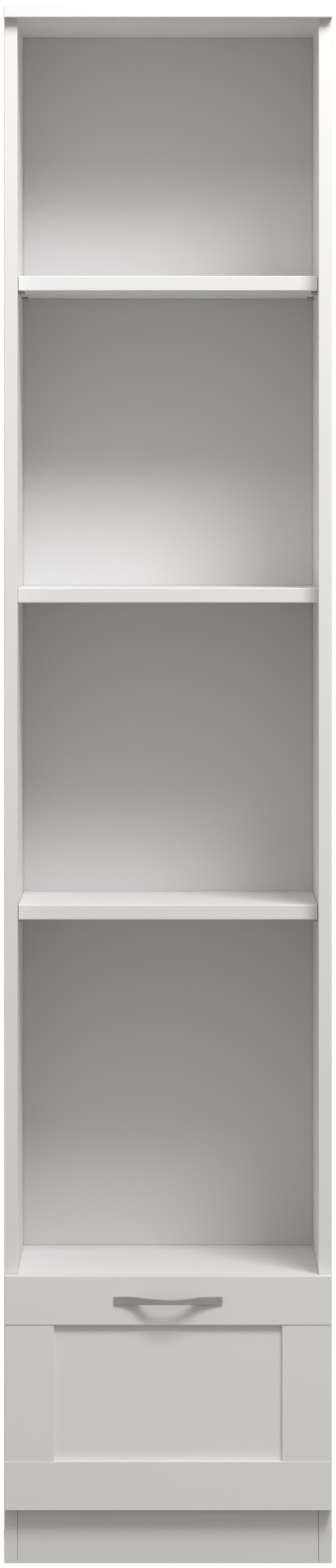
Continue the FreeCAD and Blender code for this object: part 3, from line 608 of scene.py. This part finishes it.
def screw(length, head_radius, crown, thread_radius, columns=24):
    """A cross-slotted screw, its crown at zero and its point below. From the middle out, the rings cross the
    slot and the shallow dome and go down the rim. Along the shank the radius is the core plus a ridge that
    climbs one pitch each turn, and it tapers to the point."""
    angle = np.linspace(0, TURN, columns, endpoint=False)[None]
    share = np.array(HEAD_RINGS)[:, None]
    arm = np.minimum(np.abs(np.cos(angle)), np.abs(np.sin(angle))) * share < SLOT_HALF_WIDTH
    slot = arm * (share < SLOT_REACH) * (1 - SLOT_SLOPE * share)
    head_height = -HEAD_DOME * crown * share ** 2 - SLOT_DEPTH * crown * slot
    head_radii = np.broadcast_to(head_radius * share, head_height.shape)
    rim_height = np.broadcast_to(-crown, (1, columns))
    rim_radii = np.broadcast_to(head_radius, (1, columns))
    steps = THREAD_RINGS * round((length - crown) / THREAD_PITCH)
    depth = np.linspace(crown, length, steps)[:, None]
    phase = (depth / THREAD_PITCH + angle / TURN) % 1
    ridge = np.clip(1 - THREAD_STEEPNESS * np.abs(phase - 0.5), 0, 1)
    taper = np.clip((length - depth) / (POINT_LENGTH * thread_radius), POINT_WIDTH, 1)
    shank_radii = thread_radius * (THREAD_CORE + (1 - THREAD_CORE) * ridge) * taper
    radius = np.concatenate([head_radii, rim_radii, shank_radii])
    height = np.concatenate([head_height, rim_height, np.broadcast_to(-depth, shank_radii.shape)])
    return np.stack([radius * np.cos(angle), radius * np.sin(angle), height], axis=-1)


def screws(node, body, form, heads):
    """Replaces the plain screws of a node, which are all alike. Each stands at the head end of its solid, in
    the direction that the heads face."""
    stands = []
    for low, high in solids(node):
        middle = (low + high) / 2
        direction = np.array(heads) * (math.copysign(1, middle[0]), 1, 1)
        half = np.abs(direction) @ (high - low) / 2
        stands.append((middle + direction * half, direction))
        length = 2 * half
        head_radius = (high - low).min() / 2
    rings = screw(length, head_radius, *form)
    new_piece(f"{node}_threaded", rings, "zinc_steel", body, stands, replaced=[node])


def shelf_pins(node):
    """Round pins with a flat seat: rings along the pin, each a circle that is cut level at the seat height on
    the length that stands out of the side, with a rounded nose."""
    stands = []
    for low, high in solids(node):
        middle = (low + high) / 2
        side = math.copysign(1, middle[0])
        stands.append(((side * side_low.x, middle[1], middle[2]), (-side, 0, 0)))
        radius = (high[1] - low[1]) / 2
        near, far = sorted((abs(low[0]), abs(high[0])))
        proud = side_low.x - near
        held = far - side_low.x
    from_end, nose_share = np.array(PIN_NOSE).T
    run = np.concatenate([[-held, PIN_BEVEL - held, -PIN_STEP, 0.0], proud - from_end])
    shrink = np.concatenate([[PIN_BEVEL_SHARE, 1.0, 1.0, 1.0], nose_share])[:, None]
    level = np.where(run >= 0, radius - PIN_FLAT, radius)[:, None]
    angle = np.linspace(0, TURN, PIN_COLUMNS, endpoint=False)[None]
    up = np.minimum(radius * shrink * np.sin(angle), level * np.minimum(1, shrink + PIN_SEAT_EASE))
    across = radius * shrink * np.cos(angle)
    rings = np.stack([across, up, np.broadcast_to(run[:, None], up.shape)], axis=-1)
    new_piece(f"{node}_turned", rings, "satin_nickel", "carcass", stands, replaced=[node])


def screw_caps():
    """A low dome over the head of each screw in the sides."""
    stands = []
    for low, high in solids("carcass_screws"):
        middle = (low + high) / 2
        side = math.copysign(1, middle[0])
        stands.append(((side * side_high.x, middle[1], middle[2]), (side, 0, 0)))
    rings = turned(dome(CAP_RADIUS, CAP_RISE), columns=32)
    new_piece("screw_caps", rings, "cap_white", "carcass", stands, sharp=60)


def back_nails():
    """Flat-headed nails through the back, in a row up each side and a row into each fixed board."""
    heights = np.arange(back_low.z + NAIL_FOOT, back_high.z, NAIL_PITCH)
    stands = [((side * side_middle, back_high.y, z), REARWARD) for side in (-1, 1) for z in heights]
    spots = NAIL_PITCH * np.arange(-1, 2)
    for board in ("base_board", "drawer_cover_board", "fixed_shelf"):
        low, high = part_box(board)
        stands += [((x, back_high.y, (low.z + high.z) / 2), REARWARD) for x in spots]
    profile = np.array(NAIL_PROFILE) * (NAIL_RADIUS, NAIL_RISE)
    new_piece("back_nails", turned(profile, columns=12), "zinc_steel", "carcass", stands)


def drawer_bumpers():
    """Milky domes on the front edges of the sides, where the drawer front comes to rest."""
    gap = side_low.y - rail_high.y
    low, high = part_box("front_rail_bottom")
    heights = ((low.z + high.z) / 2, (rail_low.z + rail_high.z) / 2)
    stands = [((side * side_middle, side_low.y, z), FORWARD) for side in (-1, 1) for z in heights]
    rings = turned(dome(BUMPER_RADIUS, BUMPER_GAP_SHARE * gap))
    new_piece("drawer_bumpers", rings, "bumper_clear", "carcass", stands)


bow_handle()
screws("runner_screws_cabinet", "carcass", RUNNER_SCREW, INWARD)
screws("runner_screws_drawer", "drawer", RUNNER_SCREW, DOWNWARD)
screws("box_screws", "drawer", BOX_SCREW, OUTWARD)
screws("front_fixing_screws", "drawer", BOX_SCREW, REARWARD)
screws("handle_screws", "drawer", HANDLE_SCREW, REARWARD)
for row in ("shelf_pins_upper", "shelf_pins_lower"):
    shelf_pins(row)
screw_caps()
back_nails()
drawer_bumpers()


def floor():
    """Pale floor: a glow that is seen but lights nothing lifts it to white where no shadow falls."""
    mesh = bpy.data.meshes.new("floor")
    square = [(-1, -1), (1, -1), (1, 1), (-1, 1)]
    mesh.from_pydata([(FLOOR_HALF * x, FLOOR_HALF * y, 0) for x, y in square], [], [(0, 1, 2, 3)])
    piece = bpy.data.objects.new("floor", mesh)
    bpy.context.scene.collection.objects.link(piece)
    finish = new_finish("pale_floor")
    speckle = finish.noise(finish.place(), scale=30.0, detail=3.0)
    pale = finish.mixed(speckle, (0.25, 0.25, 0.249), (0.28, 0.28, 0.279))
    lit = finish.node("ShaderNodeBsdfDiffuse", sockets={"Color": pale})
    glow = finish.node("ShaderNodeEmission", sockets={"Color": WHITE, "Strength": FLOOR_GLOW * finish.seen()})
    mesh.materials.append(finish.end(finish.node("ShaderNodeAddShader", sockets={0: lit, 1: glow})))


def room():
    """Even room light, which the camera sees as a white backdrop."""
    world = bpy.data.worlds.new("room")
    bpy.context.scene.world = world
    finish = Finish(world)
    seen = finish.seen()
    colour = finish.mixed(seen, ROOM_COLOUR, WHITE)
    strength = ROOM_LIGHT + (1 - ROOM_LIGHT) * seen
    sky = finish.node("ShaderNodeBackground", sockets={"Color": colour, "Strength": strength})
    finish.end(sky, "ShaderNodeOutputWorld")


def soft_lamp(name, place, aim, width, height, power, colour):
    """A soft lamp that faces the point it is aimed at."""
    lamp = bpy.data.lights.new(name, "AREA")
    lamp.shape = "RECTANGLE"
    lamp.size = width
    lamp.size_y = height
    lamp.energy = power
    lamp.color = colour
    holder = bpy.data.objects.new(name, lamp)
    holder.location = place
    holder.rotation_euler = (Vector(aim) - Vector(place)).to_track_quat("-Z", "Y").to_euler()
    bpy.context.scene.collection.objects.link(holder)


def camera():
    """A level camera in front. The shift lifts the horizon to its row of the picture."""
    lens = bpy.data.cameras.new("camera")
    lens.lens = LENS
    lens.sensor_width = SENSOR
    lens.shift_y = (HORIZON_ROW - PHOTO_HEIGHT / 2) / PHOTO_HEIGHT
    lens.clip_end = VIEW_REACH
    holder = bpy.data.objects.new("camera", lens)
    holder.location = EYE
    holder.rotation_euler = (TURN / 4, 0, 0)
    bpy.context.scene.collection.objects.link(holder)
    bpy.context.scene.camera = holder


floor()
room()
soft_lamp("key_lamp", *KEY_LAMP)
soft_lamp("top_lamp", *TOP_LAMP)
camera()
bpy.context.scene.view_settings.view_transform = "Standard"
